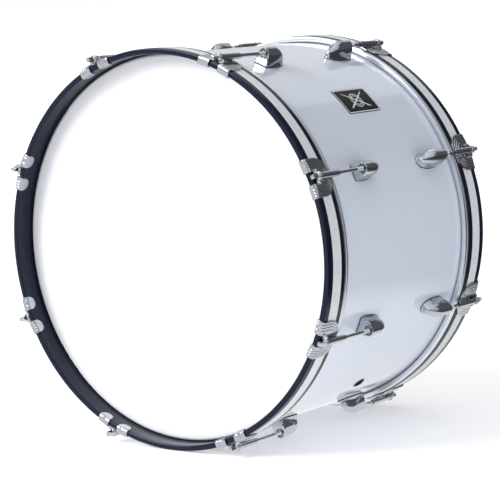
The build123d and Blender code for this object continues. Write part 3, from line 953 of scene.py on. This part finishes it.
def line_section(x, y, half_x, half_y, top_share):
    """Four corners across a raised line at x, y, whose top is narrower than its foot."""
    top_x, top_y = half_x * top_share, half_y * top_share
    return [
        on_badge(x - half_x, y - half_y, LINE_FOOT),
        on_badge(x - top_x, y - top_y, LINE_TOP),
        on_badge(x + top_x, y + top_y, LINE_TOP),
        on_badge(x + half_x, y + half_y, LINE_FOOT),
    ]


def raised_ring(shape, outline, half_line):
    """A raised bright line along a closed outline of (across, depth) on the badge."""
    rings = []
    count = len(outline)
    for k, (x, y) in enumerate(outline):
        last_x, last_y = outline[k - 1]
        next_x, next_y = outline[(k + 1) % count]
        step_x, step_y = next_x - last_x, next_y - last_y
        scale = half_line / hypot(step_x, step_y)
        rings.append(line_section(x, y, step_y * scale, -step_x * scale, 0.7))
    shape.loops(rings, closed_across=True)


def raised_bar(shape, start, end, half_start, half_end):
    """A raised tapering bar between two points of the badge, that follows its curve."""
    length = hypot(end[0] - start[0], end[1] - start[1])
    along_x, along_y = (end[0] - start[0]) / length, (end[1] - start[1]) / length
    steps = 24
    end_power, end_least = 8, 0.1
    rings = []
    for k in range(steps + 1):
        t = (1 - cos(pi * k / steps)) / 2
        round_end = sqrt(max(1 - (2 * t - 1) ** end_power, end_least))
        half = (half_start + (half_end - half_start) * t) * round_end
        x, y = start[0] + along_x * length * t, start[1] + along_y * length * t
        rings.append(line_section(x, y, along_y * half, -along_x * half, 0.6))
    shape.loops(rings, cap_start=True, cap_end=True)


def badge_mark_mesh():
    """Bright border and a plain mark: a drum seen from above with two crossed sticks."""
    shape = Shape()
    border = rounded_outline(BADGE_WIDTH / 2 - BORDER_INSET, BADGE_LENGTH / 2 - BORDER_INSET, 2.0)
    raised_ring(shape, border, BORDER_HALF)
    sides = 48
    for radius in DRUM_RADII:
        raised_ring(shape, arc(0, 0, radius, 0, 360 - 360 / sides, sides - 1), DRUM_LINE_HALF)
    for sign in (-1, 1):
        start = (STICK_FROM[0], sign * STICK_FROM[1])
        end = (STICK_TO[0], sign * STICK_TO[1])
        raised_bar(shape, start, end, STICK_TIP_HALF, STICK_BUTT_HALF)
    return shape.mesh("badge_mark", 30.0)


def eyelet_mesh():
    """Domed eyelet of the air vent, seen from outside the shell."""
    sides = 48
    rings = []
    for radius, lift in EYELET_PROFILE:
        ring = []
        for k in range(sides):
            a = 2 * pi * k / sides
            x = radius * cos(a)
            ring.append((x, VENT_AT + radius * sin(a), sqrt(SHELL_RADIUS ** 2 - x * x) + lift))
        rings.append(ring)
    shape = Shape()
    shape.loops(rings, closed_across=True)
    return shape.mesh("vent_eyelet", 35.0)


def add_badge_and_vent():
    """The badge with its mark, and the eyelet, on the shell."""
    badge_place = side_matrix("front", BADGE_ANGLE)
    vent_place = side_matrix("front", VENT_ANGLE)
    add_piece("badge_enamel", badge_mesh(), badge_place, "shell", "badge_black", "badge_plate")
    add_piece("badge_mark", badge_mark_mesh(), badge_place, "shell", "silver_stripe", "badge_plate")
    add_piece("vent_eyelet", eyelet_mesh(), vent_place, "shell", "badge_black", "vent_grommet")


add_badge_and_vent()


# ---- stage ----
FLOOR_HALF = 60.0                      # metres
FLOOR_GLOW = 0.35                      # the floor's own light as the camera sees it
FLOOR_GLOW_SHARE = 0.6                 # share of it that lights the drum
# painted reflection: the floor stays pale to the camera, but reflections see it painted near black
# to the right and rear
DARK_REFLECTION_DIRECTION = (0.861, 0.508, 0.0)   # square to the right edge of the camera's view
DARK_REFLECTION_STARTS = 0.55                     # metres to the right of the drum axis, along it
DARK_REFLECTION_FADES = 0.25                      # metres over which the floor's painted dark reflection sets in
DARK_REFLECTION_LEVEL = 0.07                      # what is left of its brightness beyond that
REAR_RIGHT = (0.60, 0.79, 0.0)
# brightness across the room, from the drum's front left (0) to its rear right (1)
PANELS = (
    (0.0, 0.50), (0.07, 0.95), (0.13, 0.95), (0.15, 0.04), (0.23, 0.04), (0.25, 1.10), (0.34, 0.95),
    (0.36, 0.06), (0.46, 0.06), (0.48, 0.40), (0.52, 0.40), (0.56, 0.16), (0.72, 0.13),
)
# brightness from the horizon (0) to straight up (1)
CEILING = ((0.0, 0.0), (0.70, 0.0), (0.86, 0.65), (1.0, 0.85))


def distance_along(tree, socket, direction):
    """How far a point or direction reaches along a given direction."""
    node = tree.nodes.new("ShaderNodeVectorMath")
    node.operation = "DOT_PRODUCT"
    node.inputs[1].default_value = direction
    tree.links.new(socket, node.inputs[0])
    return node.outputs["Value"]


def floor():
    """Pale floor. In reflections alone it is painted near black at the right and rear: a painted
    dark reflection, with nothing dark standing there.
    """
    half = FLOOR_HALF
    corners = [(-half, -half, 0), (half, -half, 0), (half, half, 0), (-half, half, 0)]
    mesh = bpy.data.meshes.new("floor")
    mesh.from_pydata(corners, [], [(0, 1, 2, 3)])
    plane = bpy.data.objects.new("floor", mesh)
    bpy.context.scene.collection.objects.link(plane)
    material, tree, pale = new_material("pale_floor", (0.90, 0.90, 0.91), 0.6)
    pale.inputs["Specular IOR Level"].default_value = 0.1
    pale.inputs["Emission Color"].default_value = (FLOOR_GLOW, FLOOR_GLOW, FLOOR_GLOW, 1)
    path = tree.nodes.new("ShaderNodeLightPath")
    glow = map_range(tree, path.outputs["Is Camera Ray"], 0.0, 1.0, FLOOR_GLOW_SHARE, 1.0)
    tree.links.new(glow, pale.inputs["Emission Strength"])
    coords = tree.nodes.new("ShaderNodeTexCoord")
    across = distance_along(tree, coords.outputs["Object"], DARK_REFLECTION_DIRECTION)
    level = map_range(tree, across, DARK_REFLECTION_STARTS, DARK_REFLECTION_STARTS + DARK_REFLECTION_FADES, 1.0, DARK_REFLECTION_LEVEL)
    painted_reflection = tree.nodes.new("ShaderNodeEmission")
    tree.links.new(level, painted_reflection.inputs["Color"])
    mix = tree.nodes.new("ShaderNodeMixShader")
    tree.links.new(path.outputs["Is Glossy Ray"], mix.inputs["Fac"])
    tree.links.new(pale.outputs["BSDF"], mix.inputs[1])
    tree.links.new(painted_reflection.outputs["Emission"], mix.inputs[2])
    tree.links.new(mix.outputs["Shader"], tree.nodes["Material Output"].inputs["Surface"])
    mesh.materials.append(material)


def sun(name, direction, strength, angle, color=(1, 1, 1)):
    """A distant light that shines along direction. A wider angle, in degrees, is softer."""
    lamp = bpy.data.lights.new(name, "SUN")
    lamp.energy = strength
    lamp.angle = radians(angle)
    lamp.color = color
    holder = bpy.data.objects.new(name, lamp)
    bpy.context.scene.collection.objects.link(holder)
    holder.rotation_euler = Vector(direction).to_track_quat("-Z", "Y").to_euler()


def grey_ramp(tree, socket, stops):
    """Slightly cool greys along 0 to 1."""
    ramp = tree.nodes.new("ShaderNodeValToRGB")
    elements = ramp.color_ramp.elements
    while len(elements) < len(stops):
        elements.new(0.5)
    for element, (position, level) in zip(elements, stops):
        element.position = position
        element.color = (level, level, level * 1.02, 1)
    tree.links.new(socket, ramp.inputs["Fac"])
    return ramp.outputs["Color"]


def world():
    """Lights the drum by panels and a ceiling, dark at its rear right. The camera sees white."""
    bpy.context.scene.world = bpy.data.worlds.new("studio")
    studio = bpy.context.scene.world
    studio.use_nodes = True
    tree = studio.node_tree
    background = tree.nodes["Background"]
    background.inputs["Strength"].default_value = 1.0
    direction = tree.nodes.new("ShaderNodeTexCoord").outputs["Generated"]
    split = tree.nodes.new("ShaderNodeSeparateXYZ")
    tree.links.new(direction, split.inputs["Vector"])
    away = map_range(tree, distance_along(tree, direction, REAR_RIGHT), -1.0, 1.0, 0.0, 1.0)
    up = map_range(tree, split.outputs["Z"], 0.0, 1.0, 0.0, 1.0)
    total = tree.nodes.new("ShaderNodeVectorMath")
    total.operation = "ADD"
    tree.links.new(grey_ramp(tree, away, PANELS), total.inputs[0])
    tree.links.new(grey_ramp(tree, up, CEILING), total.inputs[1])
    seen = tree.nodes.new("ShaderNodeMix")
    seen.data_type = "RGBA"
    factor, lit, plain = (seen.inputs[k] for k in (0, 6, 7))   # the mix node's colour sockets
    plain.default_value = (1, 1, 1, 1)
    path = tree.nodes.new("ShaderNodeLightPath")
    tree.links.new(path.outputs["Is Camera Ray"], factor)
    tree.links.new(total.outputs["Vector"], lit)
    tree.links.new(seen.outputs[2], background.inputs["Color"])


# ---- camera ----
CAMERA_AZIMUTH = radians(37.33)        # round to the right from the front of the drum
CAMERA_ELEVATION = radians(7.32)
CAMERA_ROLL = radians(-2.51)
CAMERA_DISTANCE = 3.1919               # metres
CAMERA_RIGHT, CAMERA_UP = 0.00225, -0.02396   # metres, across and up the picture
CAMERA_BACK = 0.0025                   # metres towards the rear of the drum
CAMERA_LENS, CAMERA_SENSOR = 151.6, 36.0      # millimetres


def camera():
    """Looks at the front head from the right and a little above."""
    level = cos(CAMERA_ELEVATION)
    forward = Vector((
        -sin(CAMERA_AZIMUTH) * level,
        cos(CAMERA_AZIMUTH) * level,
        -sin(CAMERA_ELEVATION),
    ))
    level_right = forward.cross(Vector((0, 0, 1))).normalized()
    level_up = level_right.cross(forward)
    right = level_right * cos(CAMERA_ROLL) + level_up * sin(CAMERA_ROLL)
    up = right.cross(forward)
    middle = Vector((0, CAMERA_BACK, AXIS_HEIGHT * MM))
    place = middle - forward * CAMERA_DISTANCE + right * CAMERA_RIGHT + up * CAMERA_UP
    lens = bpy.data.cameras.new("camera")
    lens.lens = CAMERA_LENS
    lens.sensor_width = CAMERA_SENSOR
    lens.clip_end = 500.0
    holder = bpy.data.objects.new("camera", lens)
    bpy.context.scene.collection.objects.link(holder)
    axes = Matrix((right, up, -forward)).transposed().to_4x4()
    holder.matrix_world = Matrix.Translation(place) @ axes
    bpy.context.scene.camera = holder


floor()
world()
sun("key", (0.55, 0.78, -0.58), 2.35, 30)
sun("right_fill", (-0.80, 0.30, -0.50), 0.48, 60, (0.95, 0.97, 1.0))
sun("rear_fill", (0.45, -0.80, -0.40), 0.4, 60)
camera()
bpy.context.scene.view_settings.view_transform = "Standard"
